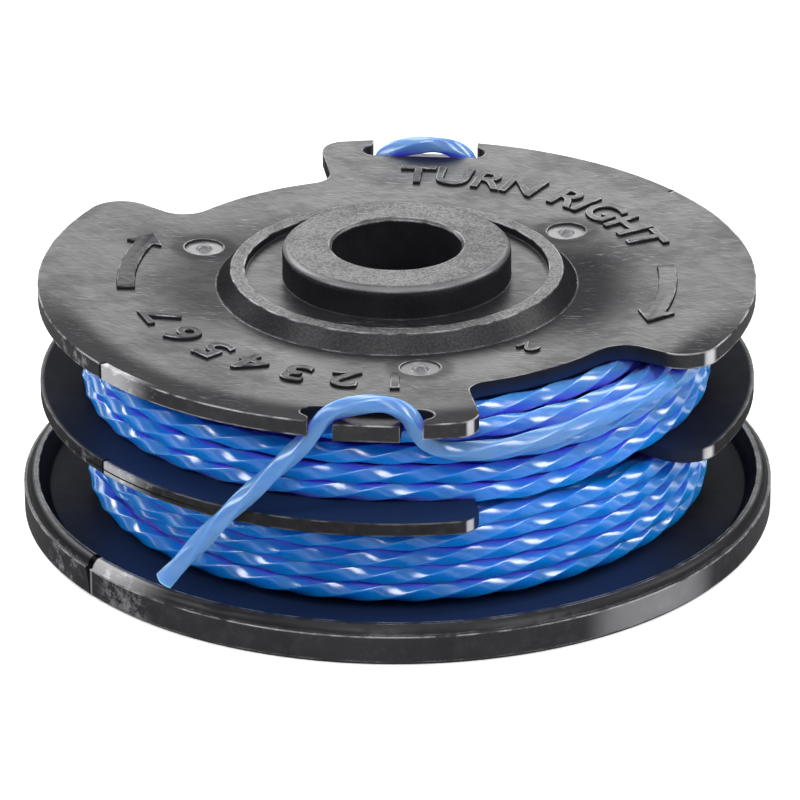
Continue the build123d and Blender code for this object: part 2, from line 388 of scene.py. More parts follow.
class EdgeWear(EffectGroup):
    """Pale worn line along convex edges, broken up along its length."""

    name = "edge_wear"
    inputs = {"Radius": 0.0002, "Breakup": 350.0, "Amount": 1.0}
    outputs = ("Mask",)
    masks = {
        "edge": Mask("likeness", (0.995, 0.86)),
        "convex": Mask("open_air", (0.82, 0.98)),
        "patches": Mask("noise", (0.36, 0.62)),
    }
    reach: float = 0.0008  # how near another face shelters an edge, in metres

    def wire(self, graph: Graph, given: Sockets) -> dict[str, object]:
        """Compare the rounded normal with the plain one, where no other face is near.

        Args:
            graph: The group's tree.
            given: The group's input sockets.

        Returns:
            A socket for each output name.
        """
        place = graph.place()
        graph["likeness"] = graph.measure("DOT_PRODUCT", graph.rounded(given["Radius"]), graph.normal())
        graph["open_air"] = graph.open_air(self.reach)
        graph["noise"] = graph.noise(place, given["Breakup"], detail=4.0)
        return {"Mask": graph.product("edge", "convex", "patches", given["Amount"])}


class HandlingScratches(EffectGroup):
    """Fine scratches in three slanted directions."""

    name = "handling_scratches"
    inputs = {"Scale": 260.0, "Length": 14.0}
    outputs = ("Mask", "Brush")
    directions: tuple[Band, ...] = ((4.0, 1.0), (-17.0, 0.8), (38.0, 0.5))  # degrees and strength
    fineness: float = 8.0
    coarseness: float = 0.35
    crests: Band = (0.62, 0.72)
    spread: Band = (0.35, 0.65)

    def wire(self, graph: Graph, given: Sockets) -> dict[str, object]:
        """Stretch noise along each direction and keep its crests.

        Args:
            graph: The group's tree.
            given: The group's input sockets.

        Returns:
            A socket for each output name.
        """
        place = graph.place()
        fine = graph.product(given["Scale"], self.fineness)
        streaks = [self.streak(graph, place, turn, given["Length"], fine) for turn, _ in self.directions]
        crests = [
            graph.product(graph.span(streak, self.crests), strength)
            for streak, (_, strength) in zip(streaks, self.directions)
        ]
        broad = graph.noise(place, graph.product(given["Scale"], self.coarseness))
        mask = graph.product(graph.most(*crests), graph.span(broad, self.spread))
        return {"Mask": mask, "Brush": graph.product(graph.total(*streaks), 1.0 / len(streaks))}

    def streak(self, graph: Graph, place: Socket, turn: float, length: Socket, scale: Socket) -> Socket:
        """Noise drawn out along one direction.

        Args:
            graph: The group's tree.
            place: Point on the surface.
            turn: Turn of the direction about the spool's axis, in degrees.
            length: How many times longer than wide the streaks are.
            scale: Scale of the noise across them.

        Returns:
            The noise's value.
        """
        inputs = {"Vector": place, "Angle": math.radians(turn)}
        turned = graph.add("VectorRotate", inputs, rotation_type="Z_AXIS").outputs[0]
        x, y, z = graph.parts(turned)
        lane = graph.add("CombineXYZ", {"X": graph.math("DIVIDE", x, length), "Y": y, "Z": z}).outputs[0]
        return graph.noise(lane, scale, detail=3.0, roughness=0.7)


class SoftClouds(EffectGroup):
    """Soft patches at two sizes, for smudges and cloudy nylon."""

    name = "soft_clouds"
    inputs = {"Scale": 70.0, "Low": 0.35, "High": 0.7}
    outputs = ("Mask",)
    fineness: float = 5.3
    coarse_share: float = 0.7
    fine_share: float = 0.3

    def wire(self, graph: Graph, given: Sockets) -> dict[str, object]:
        """Add coarse and fine noise together.

        Args:
            graph: The group's tree.
            given: The group's input sockets.

        Returns:
            A socket for each output name.
        """
        place = graph.place()
        coarse = graph.noise(place, given["Scale"], detail=4.0, roughness=0.6)
        fine_scale = graph.product(given["Scale"], self.fineness)
        fine = graph.noise(place, fine_scale, detail=3.0, roughness=0.6)
        both = graph.total(graph.product(coarse, self.coarse_share), graph.product(fine, self.fine_share))
        return {"Mask": graph.span(both, (given["Low"], given["High"]))}


class MouldLines(EffectGroup):
    """Where the mould's parts met on the flanges' edges: an upright step on two sides and a level line, with
    painted shade in the step's groove and the level line, a painted highlight on the step's lip and a painted
    highlight band beside the step at the left.

    Lengths are in metres, and across is the distance from the upright parting plane.
    """

    name = "mould_lines"
    inputs = {"Reach": 0.0400, "Line Height": 0.01515}
    outputs = ("Groove", "Lip", "Step", "Rub", "Beside")
    masks = {
        # Groove of the step, painted dark as shade
        "wedge": Mask("height", (0.0010, 0.0042), to=(-0.00025, -0.00095)),
        "groove_inner": Mask("past_wedge", (-0.00006, 0.00006)),
        "groove_outer": Mask("across", (0.00006, -0.00006)),
        # Lip of the step, painted pale as a highlight
        "lip": Mask("from_lip", (0.00022, 0.00006)),
        "step": Mask("across", (-0.00008, 0.00008)),
        # Level line, painted dark as shade near the step
        "line_width": Mask("from_line", (0.00013, 0.00005)),
        "line_reach": Mask("along_line", (0.014, 0.006)),
        "slope_inner": Mask("radius", (0.0414, 0.0419)),
        "slope_outer": Mask("radius", (0.04296, 0.04280)),
        # Painted highlight band beside the step at the left, fading with distance from it
        "rub_start": Mask("across", (0.0, 0.0002)),
        "rub_end": Mask("height", (0.006, 0.007), to=(0.0125, 0.0088)),
        "beside": Mask("from_beside", (0.0052, 0.0012)),
    }
    plane: float = 42.0  # angle of the parting plane in degrees
    rim_top: float = 0.006  # height that the lower flange stays under
    narrower: float = 0.0006  # width that the groove loses above it
    lip_middle: float = 0.00022
    line_middle: float = 0.004
    line_depth: float = 0.7
    # Distance from the step where the painted highlight band is at full strength
    highlight_full: float = 0.0025
    beside_middle: float = 0.0058

    def wire(self, graph: Graph, given: Sockets) -> dict[str, object]:
        """Measure the distance from the upright parting plane and from the level parting line.

        Args:
            graph: The group's tree.
            given: The group's input sockets.

        Returns:
            A socket for each output name.
        """
        place = graph.place()
        x, _, height = graph.parts(place)
        turn = math.radians(self.plane)
        across = graph.measure("DOT_PRODUCT", place, (math.sin(turn), -math.cos(turn), 0.0))
        above_rim = graph.math("GREATER_THAN", height, self.rim_top)
        graph["height"] = height
        graph["across"] = across
        graph["radius"] = graph.measure("LENGTH", graph.vector("MULTIPLY", place, FLAT).outputs[0])
        graph["from_lip"] = graph.off(across, self.lip_middle)
        graph["from_line"] = graph.off(height, given["Line Height"])
        graph["along_line"] = graph.off(across, self.line_middle)
        graph["from_beside"] = graph.off(graph.size(across), self.beside_middle)
        width = graph.total("wedge", graph.product(above_rim, self.narrower))
        graph["past_wedge"] = graph.math("SUBTRACT", across, width)
        line = graph.product("line_width", "line_reach")
        crest = graph.most(above_rim, graph.product("slope_inner", "slope_outer"))
        fading = graph.span(across, ("rub_end", self.highlight_full))
        left = graph.math("LESS_THAN", x, 0.0)
        at_edge = graph.math("GREATER_THAN", "radius", given["Reach"])
        made = {
            # Painted shade in the groove and the level line
            "Groove": graph.most(graph.product("groove_inner", "groove_outer"), line),
            "Lip": "lip",
            "Step": graph.math("SUBTRACT", "step", graph.product(line, self.line_depth)),
            # Painted highlight band beside the step at the left
            "Rub": graph.product(fading, "rub_start", crest, left),
            "Beside": graph.product("beside", left),
        }
        return {name: graph.product(socket, at_edge) for name, socket in made.items()}


@dataclass(frozen=True)
class Effects:
    """The shared effect groups of this scene."""

    edge_wear: EdgeWear
    scratches: HandlingScratches
    clouds: SoftClouds
    mould_lines: MouldLines


# Finishes


# Masks on the black plastic, with lengths in metres and a slope of 1 for level faces
PLASTIC_MASKS: dict[str, Mask] = {
    "upward": Mask("slope", (0.80, 0.97)),
    "upright": Mask("lean", (0.5, 0.2)),
    # Boss, groove and ring
    "hub": Mask("radius", (0.0207, 0.0204)),
    "groove_inner": Mask("radius", (0.0129, 0.0132)),
    "groove_outer": Mask("radius", (0.0174, 0.0171)),
    "boss_reach": Mask("radius", (0.0136, 0.0133)),
    "boss_slope": Mask("slope", (0.30, 0.60)),
    "boss_front": Mask("y", (0.0, -0.008)),
    "lip_reach": Mask("radius", (0.0100, 0.0110)),
    # Painted highlight on the front of the boss's lip
    "lip_pale": Mask("slope", (0.985, 0.90), to=(0.0, 0.13)),
    "lip_gain": Mask("slope", (0.985, 0.92), to=(1.0, 1.7)),
    # Chambers and cut-aways
    "chamber_floor": Mask("height", (0.0010, 0.0020)),
    "chamber_roof": Mask("height", (0.0252, 0.0248)),
    "chamber_reach": Mask("radius", (0.0408, 0.0402)),
    "recess_inner": Mask("radius", (0.0270, 0.0280)),
    "recess_outer": Mask("radius", (0.0372, 0.0362)),
    "off_core": Mask("radius", (0.0270, 0.0276)),
    # Where the painted reflection of the blue line lies: stronger low on the cut-aways' walls and towards the
    # front, weaker at the sides
    "wall_tint": Mask("height", (0.0273, 0.0258), to=(0.15, 1.0)),
    "side_tint": Mask("aside", (0.026, 0.036), to=(1.0, 0.25)),
    "front_tint": Mask("y", (-0.002, -0.022), to=(0.15, 1.0)),
    # Edges of the flanges
    "middle_edge": Mask("from_middle", (0.0014, 0.0010), to=(1.0, 0.25)),
    "flange_walls": Mask("radius", (0.030, 0.034)),
    "outer_walls": Mask("radius", (0.0375, 0.0385)),
    # Painted highlight on outer walls that face the front right, stronger above the lower flange and broken
    # up by smudges
    "faces_right": Mask("turned_right", (0.970, 0.998)),
    "right_half": Mask("right", (0.0, 0.002)),
    "side_light": Mask("height", (0.006, 0.010), to=(0.26, 0.62)),
    "side_smudge": Mask("smudges", to=(1.15, 0.85)),
    "top_edge": Mask("radius", (0.0345, 0.0390)),
    "top_face": Mask("height", (0.0271, 0.0274)),
    "front_half": Mask("y", (0.0, -0.02)),
    "rolled_gain": Mask("rolled", to=(1.0, 0.16)),
    # Top face
    "near_ring": Mask("radius", (0.0310, 0.0225)),
    "beside_ring": Mask("off_axis", (0.022, 0.006)),
    "grime": Mask("x", (-0.010, 0.010), to=(0.64, 0.92)),
    "before_gain": Mask("y", (-0.016, -0.022), to=(0.0, 0.5)),
    "behind_gain": Mask("y", (0.012, 0.026), to=(1.0, 1.18)),
    "across": Mask("x", (-0.022, 0.030)),
    "gate": Mask("to_gate", (0.0023, 0.0020)),
    # Painted highlight on the gates' floors
    "gate_pale": Mask("mottles", to=(0.10, 0.21)),
    "gate_gain": Mask("gate", to=(1.0, 1.7)),
    "halo_inner": Mask("to_gate", (0.0022, 0.0026)),
    "halo_outer": Mask("to_gate", (0.0048, 0.0028)),
    "halo_gain": Mask("halo", to=(1.0, 0.55)),
    # Marks and grain
    "scuff": Mask("mould_beside", to=(0.012, 0.20)),
    # Breakup of the painted highlight band beside the mould's step
    "rub": Mask("mottles", to=(0.46, 0.76)),
    "smudge_gain": Mask("smudges", to=(1.20, 0.74)),
    "smudge_rough": Mask("smudges", to=(-0.02, 0.06)),
    "brush_gain": Mask("brush", (0.40, 0.60), to=(0.80, 1.20)),
    "brush_rough": Mask("brush", (0.42, 0.60), to=(-0.05, 0.08)),
    "speckle_gain": Mask("speckle", (0.35, 0.65), to=(0.60, 1.40)),
    "sparked_gain": Mask("sparked", to=(0.0, 0.14)),
    "sparked_grain": Mask("sparked", to=(0.15, 1.0)),
    "edge_on": Mask("turned_away", (0.10, 0.62)),
}


@dataclass(frozen=True)
class BlackNylon:
    """Moulded black glass-filled nylon, scuffed by handling, with painted highlights, a painted reflection of
    the blue line and painted shade in the mould's step. Lengths in metres.

    Attributes:
        name: Name of the material.
        base: Colour of clean plastic.
        dusty: Colour where it is smudged.
        wear_and_highlight: Pale colour of scratches, scuffs and worn edges, also used for painted highlights.
        painted_line_reflection: Dark blue painted inside the chambers and on the cut-aways' walls, as a
            reflection of the blue line.
        seam: Near-black colour painted as shade in the groove of the mould's step and along its level line.
        gloss: Roughness of smooth faces.
        grain: Roughness that the sparked boss and ring have more.
        pale_rough: Roughness that pale places have more.
        top_gleam: Gloss of faces that look up.
        wall_gleam: Gloss of upright faces seen square on.
        edge_gleam: Gloss of upright faces seen edge on.
        sparked_wall: Gain of the gloss on sparked walls.
        least_gleam: Gloss that every face has.
        edge_radius: Rounding of its moulded edges.
        wear_radius: Width of its worn edges.
        wear_amount: Strength of the worn edges.
        scratch_tone: How pale scratches are.
        lip_tone: How pale the lip of the mould's step is painted, as a highlight.
        skin_relief: Height of the skin against the grain's.
        brush_relief: Height of fine streaks on faces that look up.
        step_relief: Height of the mould's step.
        recess_amount: How far the walls of the cut-aways count as sheltered.
        left_share: Share of the gloss that faces at the left have.
        right_share: Share of the gloss that faces at the right have.
        middle_height: Height of the middle flange.
        gate_radius: Radius of the circle that the gates lie on.
    """

    name: str
    base: Colour = (0.0075, 0.0076, 0.0088, 1.0)
    dusty: Colour = (0.0135, 0.0137, 0.0158, 1.0)
    # Pale colour of wear, also used for painted highlights
    wear_and_highlight: Colour = (0.62, 0.62, 0.64, 1.0)
    # Painted reflection of the blue line
    painted_line_reflection: Colour = (0.0095, 0.0200, 0.060, 1.0)
    # Painted shade in the mould's step and level line
    seam: Colour = (0.001, 0.001, 0.001, 1.0)
    gloss: float = 0.34
    grain: float = 0.06
    pale_rough: float = 0.12
    top_gleam: float = 0.58
    wall_gleam: float = 0.20
    edge_gleam: float = 0.09
    sparked_wall: float = 1.35
    least_gleam: float = 0.04
    edge_radius: float = 0.00028
    wear_radius: float = 0.00032
    wear_amount: float = 0.9
    scratch_tone: float = 0.22
    lip_tone: float = 0.25
    skin_relief: float = 0.25
    brush_relief: float = 2.0
    step_relief: float = 2.5
    recess_amount: float = 1.0
    left_share: float = 1.0
    right_share: float = 1.0
    middle_height: float = 0.01535
    gate_radius: float = 0.0243

    def make(self, effects: Effects) -> bpy.types.Material:
        """Build the material.

        Args:
            effects: The scene's shared effect groups.

        Returns:
            The material.
        """
        material, graph = new_material(self.name, PLASTIC_MASKS)
        rounded = graph.rounded(self.edge_radius)
        self.survey(graph, effects, rounded)
        # Pale share: painted highlights together with scratches, scuffs and worn edges
        pale = graph.math("MAXIMUM", self.painted_highlights(graph), self.wear_and_painted_highlights(graph), clamp=True)
        grain = graph.product("speckle", "sparked_grain")
        relief = graph.total(grain, graph.product("skin", self.skin_relief))
        lanes = graph.product("brush", "upward", self.brush_relief)
        stepped = graph.total(relief, lanes, graph.product("mould_step", self.step_relief))
        normal, film = (
            graph.add("Bump", {"Strength": 0.35, "Distance": 0.00006, "Height": height, "Normal": rounded})
            for height in (stepped, relief)
        )
        shader = graph.add(
            "BsdfPrincipled",
            {
                "Base Color": self.colour(graph, pale),
                "Roughness": self.roughness(graph, pale),
                "Normal": normal.outputs[0],
                "Specular IOR Level": 0.0,
                "Coat Weight": self.gleam(graph),
                "Coat Roughness": self.gloss,
                "Coat IOR": 1.6,
                "Coat Normal": film.outputs[0],
            },
        )
        graph.add("OutputMaterial", {"Surface": shader.outputs[0]})
        return material

    def survey(self, graph: Graph, effects: Effects, rounded: Socket) -> None:
        """Name where a point lies, which way it faces and what marks it carries.

        Args:
            graph: The material's tree.
            effects: The scene's shared effect groups.
            rounded: Normal with rounded edges.
        """
        place = graph.place()
        x, y, height = graph.parts(place)
        slope = graph.parts(graph.normal())["Z"]
        flat = graph.vector("MULTIPLY", place, FLAT).outputs[0]
        gates = [graph.measure("DISTANCE", flat, polar(self.gate_radius, turn, 0.0)) for turn in GATE_ANGLES]
        wear = effects.edge_wear.place(graph, Radius=self.wear_radius, Breakup=420.0, Amount=self.wear_amount)
        scratches = effects.scratches.place(graph, Scale=430.0, Length=11.0)
        mould = effects.mould_lines.place(graph)
        graph.named = {
            "x": x,
            "y": y,
            "height": height,
            "aside": graph.size(x),
            "off_axis": graph.size(y),
            "from_middle": graph.off(height, self.middle_height),
            "radius": graph.measure("LENGTH", flat),
            "to_gate": graph.fold("MINIMUM", *gates),
            "slope": slope,
            "lean": graph.size(slope),
            "right": graph.measure("DOT_PRODUCT", place, FRONT_RIGHT),
            "turned_right": graph.measure("DOT_PRODUCT", rounded, FRONT_RIGHT),
            "turned_away": graph.add("LayerWeight", {"Blend": 0.5}).outputs["Facing"],
            "wear": wear["Mask"],
            "scratches": scratches["Mask"],
            "brush": scratches["Brush"],
            "smudges": effects.clouds.place(graph, Scale=75.0, Low=0.36, High=0.66)["Mask"],
            "mottles": effects.clouds.place(graph, Scale=620.0, Low=0.47, High=0.64)["Mask"],
            "speckle": graph.noise(place, scale=4200.0, detail=2.0, roughness=0.6),
            "skin": graph.noise(place, scale=1500.0, detail=3.0, roughness=0.55),
            **{"mould_" + name.lower(): mould[name] for name in effects.mould_lines.outputs},
        }
        graph["sparked"] = graph.product("hub", graph.rest(graph.product("groove_inner", "groove_outer")))
        graph["boss"] = graph.product("boss_reach", "boss_slope")
        graph["chamber"] = graph.product("chamber_floor", "chamber_roof", "chamber_reach")
        graph["cut_wall"] = graph.product("upright", "recess_inner", "recess_outer", self.recess_amount)
        graph["outside"] = graph.rest(graph.most("chamber", "cut_wall"))
        graph["rolled"] = graph.product("top_edge", "top_face", "upward", "front_half")
        graph["by_ring"] = graph.product("near_ring", graph.rest("hub"))
        graph["halo"] = graph.product("halo_inner", "halo_outer")

    def wear_and_painted_highlights(self, graph: Graph) -> Socket:
        """Share of plastic that is pale from handling, and from painted highlights at the mould's step.

        Args:
            graph: The material's tree.

        Returns:
            The share: scratches, scuffs and worn edges, with painted highlights on the mould's step: on its
                lip and in a band beside it at the left.
        """
        pale_marks = graph.most(
            graph.product("scratches", "upward", self.scratch_tone),
            graph.product("mottles", "upright", "scuff", "flange_walls"),
            # Lip of the mould's step, painted pale as a highlight
            graph.product("mould_lip", self.lip_tone),
            # Painted highlight band beside the mould's step
            graph.product("mould_rub", "rub"),
            graph.product("wear", "middle_edge"),
        )
        return graph.product(pale_marks, "outside")

    def painted_highlights(self, graph: Graph) -> Socket:
        """Share of plastic painted pale as highlights, where it would catch light.

        Args:
            graph: The material's tree.

        Returns:
            The share: painted highlights on walls that face the front right, on the front of the boss's lip
                and on the gates' floors.
        """
        # Painted highlight on outer walls that face the front right
        front_right = graph.product("faces_right", "right_half", "outer_walls", "upright")
        return graph.most(
            graph.product(front_right, "side_light", "side_smudge", self.recess_amount),
            # Painted highlight on the front of the boss's lip
            graph.product("boss", "lip_pale", "lip_reach", "boss_front"),
            # Painted highlight on the gates' floors
            graph.product("gate", "gate_pale"),
        )

    def colour(self, graph: Graph, pale: Socket) -> Socket:
        """Colour of the plastic.

        Args:
            graph: The material's tree.
            pale: Share that is pale from wear and from painted highlights.

        Returns:
            The colour, with a painted reflection of the blue line in the chambers and painted shade in the
            mould's groove.
        """
        # Painted reflection of the blue line in the chambers and on the cut-aways' walls
        near_line = graph.most("chamber", graph.product("cut_wall", "wall_tint"))
        reflecting = graph.product(near_line, "off_core", "side_tint", "front_tint")
        dull = graph.blend(reflecting, graph.blend("smudges", self.base, self.dusty), self.painted_line_reflection)
        # Pale wear and painted highlights over the colour, then painted shade in the mould's groove
        return graph.blend("mould_groove", graph.blend(pale, dull, self.wear_and_highlight), self.seam)

    def roughness(self, graph: Graph, pale: Socket) -> Socket:
        """Roughness of the plastic under its film."""
        rough = graph.total("smudge_rough", self.gloss, "brush_rough", graph.product("sparked", self.grain))
        return graph.math("ADD", rough, graph.product(pale, self.pale_rough), clamp=True)

    def gleam(self, graph: Graph) -> Socket:
        """Gloss of the film on the plastic.

        Args:
            graph: The material's tree.

        Returns:
            The gloss: high on faces that look up, low on walls and lowest in the chambers.
        """
        grime = graph.product("by_ring", "beside_ring", "grime", graph.rest("gate"))
        top = graph.product(
            graph.total("sparked_gain", self.top_gleam),
            graph.between("sparked", "brush_gain", "speckle_gain"),
            graph.between("across", self.left_share, self.right_share),
            "smudge_gain",
            graph.rest(grime),
            graph.total(graph.product("by_ring", "before_gain"), 1.0),
            "behind_gain",
            "halo_gain",
            "gate_gain",
            "rolled_gain",
            graph.most(graph.product("boss", "lip_gain"), 1.0),
        )
        wall = graph.product(
            graph.between("edge_on", self.wall_gleam, self.edge_gleam),
            "middle_edge",
            graph.between("sparked", 1.0, graph.product("speckle_gain", self.sparked_wall)),
        )
        lit = graph.most("upward", "boss", "gate")
        shown = graph.product("outside", graph.rest("mould_groove"), graph.between(lit, wall, top))
        return graph.math("ADD", shown, self.least_gleam, clamp=True)


# Masks on the line, with lengths in metres
LINE_MASKS: dict[str, Mask] = {
    # Open air round the line; where there is little, the painted shade colour is used
    "apart": Mask("open_air", (0.10, 0.60)),
    "leaving": Mask("length", (0.004, 0.020)),
    # Where the paler painted light lies: the upper turns at the right
    "to_right": Mask("right", (0.006, 0.022)),
    "to_top": Mask("height", (0.0165, 0.0225)),
    "flat_lying": Mask("slope", (0.10, 0.34)),
    "cloud_share": Mask("clouds", to=(0.85, 1.0)),
    "cloud_rough": Mask("clouds", to=(-0.04, 0.08)),
}


@dataclass(frozen=True)
class BlueNylon:
    """Translucent blue nylon line.

    Attributes:
        name: Name of the material.
        lit: Colour of open facets.
        milky: Colour of cloudy stretches.
        deep: Purple painted where turns lie close together, as the shade between them.
        pale: Paler colour painted on stretches that stand free of the winding, as the stronger light on them.
        painted_light_colour: Paler colour painted on the upper turns at the right, as strong light on them.
        roughness: Roughness of the drawn surface.
        coat: Strength of its gloss.
        wall_coat: Share of that gloss on upright facets.
        near: How near another turn makes it count as close, in metres.
        painted_light_share: How far that painted light goes at most.
    """

    name: str
    lit: Colour = (0.002, 0.160, 0.55, 1.0)
    milky: Colour = (0.008, 0.205, 0.60, 1.0)
    # Painted shade colour between turns
    deep: Colour = (0.140, 0.120, 0.95, 1.0)
    # Painted light on free stretches
    pale: Colour = (0.002, 0.160, 0.55, 1.0)
    # Painted light on the upper turns at the right
    painted_light_colour: Colour = (0.085, 0.200, 0.40, 1.0)
    roughness: float = 0.40
    coat: float = 1.0
    wall_coat: float = 0.2
    near: float = 0.0022
    painted_light_share: float = 0.6

    def make(self, effects: Effects) -> bpy.types.Material:
        """Build the material.

        Args:
            effects: The scene's shared effect groups.

        Returns:
            The material.
        """
        material, graph = new_material(self.name, LINE_MASKS)
        place = graph.place()
        x, _, height = graph.parts(place)
        graph.named = {
            "right": x,
            "height": height,
            "length": graph.add("Attribute", attribute_name=LENGTH).outputs["Fac"],
            "slope": graph.parts(graph.normal())["Z"],
            "clouds": effects.clouds.place(graph, Scale=190.0, Low=0.35, High=0.65)["Mask"],
            "open_air": graph.open_air(self.near),
        }
        shader = graph.add(
            "BsdfPrincipled",
            {
                "Base Color": self.colour(graph),
                "Roughness": graph.total("cloud_rough", self.roughness),
                "Normal": self.drawn_skin(graph, place),
                "IOR": 1.53,
                "Specular IOR Level": 0.05,
                "Subsurface Weight": 0.9,
                "Subsurface Radius": (0.25, 0.55, 1.0),
                "Subsurface Scale": 0.0032,
                "Coat Weight": graph.between("flat_lying", self.wall_coat * self.coat, self.coat),
                "Coat Roughness": 0.205,
                "Coat IOR": 1.9,
            },
        )
        graph.add("OutputMaterial", {"Surface": shader.outputs[0]})
        return material

    def colour(self, graph: Graph) -> Socket:
        """Colour of the line.

        Args:
            graph: The material's tree.

        Returns:
            The colour: painted light where the line is free and on the upper turns at the right, and painted
                shade where turns lie close together.
        """
        wound = graph.blend("clouds", self.lit, self.milky)
        # Free stretches take the paler painted light
        free = graph.blend(graph.product("leaving", "cloud_share"), wound, self.pale)
        # Paler painted light on the upper turns at the right
        painted_light = graph.product("to_right", "to_top", self.painted_light_share)
        # Painted shade colour where turns lie close together
        return graph.blend("apart", self.deep, graph.blend(painted_light, free, self.painted_light_colour))

    def drawn_skin(self, graph: Graph, place: Socket) -> Socket:
        """Normal of the drawn surface.

        Args:
            graph: The material's tree.
            place: Point on the surface.

        Returns:
            The normal, with a fine skin and slow waves along the line.
        """
        along = graph.add("CombineXYZ", {"X": graph.product("length", 0.12)}).outputs[0]
        waves = graph.product(graph.noise(along, scale=900.0), 0.5)
        skin = graph.total(graph.noise(place, scale=1400.0, detail=3.0, roughness=0.6), waves)
        return graph.add("Bump", {"Strength": 0.25, "Distance": 0.00005, "Height": skin}).outputs[0]


# The line and its pieces


@dataclass(frozen=True)
class TwistedLine:
    """Twisted square line with slightly bellied flats. Sizes in millimetres, angles in degrees.

    Attributes:
        corner: Radius at the rounded corners.
        flat: Radius at the middle of the flats.
        belly: Radius of the flats' own curve.
        full_twist: Length of one whole twist, left-handed.
        quarter: Angle from a corner of each point on a quarter of the section.
        sharp: Edges sharper than this stay sharp.
    """

    corner: float = 1.13
    flat: float = 0.92
    belly: float = 3.2
    full_twist: float = 23.2
    quarter: tuple[float, ...] = (-31.0, -17.0, -5.0, 0.0, 5.0, 17.0, 31.0, 45.0)
    sharp: float = 60.0

    def section(self) -> list[Band]:
        """Outline of the section.

        Returns:
            Radius and angle of each point, corner by corner.
        """
        points = []
        back = self.belly - self.flat
        for corner in range(4):
            for angle in self.quarter:
                off = math.radians(45.0 - abs(angle))
                radius = math.sqrt(self.belly**2 - (back * math.sin(off)) ** 2) - back * math.cos(off)
                points.append((min(radius, self.corner), 90.0 * corner + angle))
        return points

    def spin(self, travelled: float) -> float:
        """Turn of the section after a length of line."""
        return -360.0 * travelled / self.full_twist

    def tube(self, rings: int, count: int) -> list[list[int]]:
        """Faces of a closed tube.

        Args:
            rings: Number of its rings.
            count: Number of points in a ring.

        Returns:
            Points of each face.
        """
        last = (rings - 1) * count
        faces = []
        for first in range(0, last, count):
            for step in range(count):
                ahead = (step + 1) % count
                faces.append([first + step, first + ahead, first + count + ahead, first + count + step])
        return faces + [list(reversed(range(count))), list(range(last, last + count))]

    def sweep(self, name: str, path: Sequence[Vector], start_turn: float = 0.0) -> bpy.types.Object:
        """Draw the section along a path.

        Args:
            name: Name of the piece.
            path: Points of the centreline in millimetres.
            start_turn: Turn of the section at the path's start.

        Returns:
            The closed tube as an object, in metres.
        """
        section = self.section()
        corners: list[Vector] = []
        lengths: list[float] = []
        side = Vector((0.0, 0.0, 1.0))
        travelled = 0.0
        for index, point in enumerate(path):
            before = path[max(index - 1, 0)]
            after = path[min(index + 1, len(path) - 1)]
            ahead = (after - before).normalized()
            side = (side - ahead * side.dot(ahead)).normalized()
            other = ahead.cross(side)
            travelled += (point - before).length
            for radius, angle in section:
                turn = math.radians(angle + start_turn + self.spin(travelled))
                corners.append((point + (side * math.cos(turn) + other * math.sin(turn)) * radius) * MM)
                lengths.append(travelled * MM)
        mesh = bpy.data.meshes.new(name)
        mesh.from_pydata(corners, [], self.tube(len(path), len(section)))
        mesh.attributes.new(LENGTH, "FLOAT", "POINT").data.foreach_set("value", lengths)
        piece = bpy.data.objects.new(name, mesh)
        bpy.context.scene.collection.objects.link(piece)
        smooth_sharp(piece, self.sharp)
        return piece


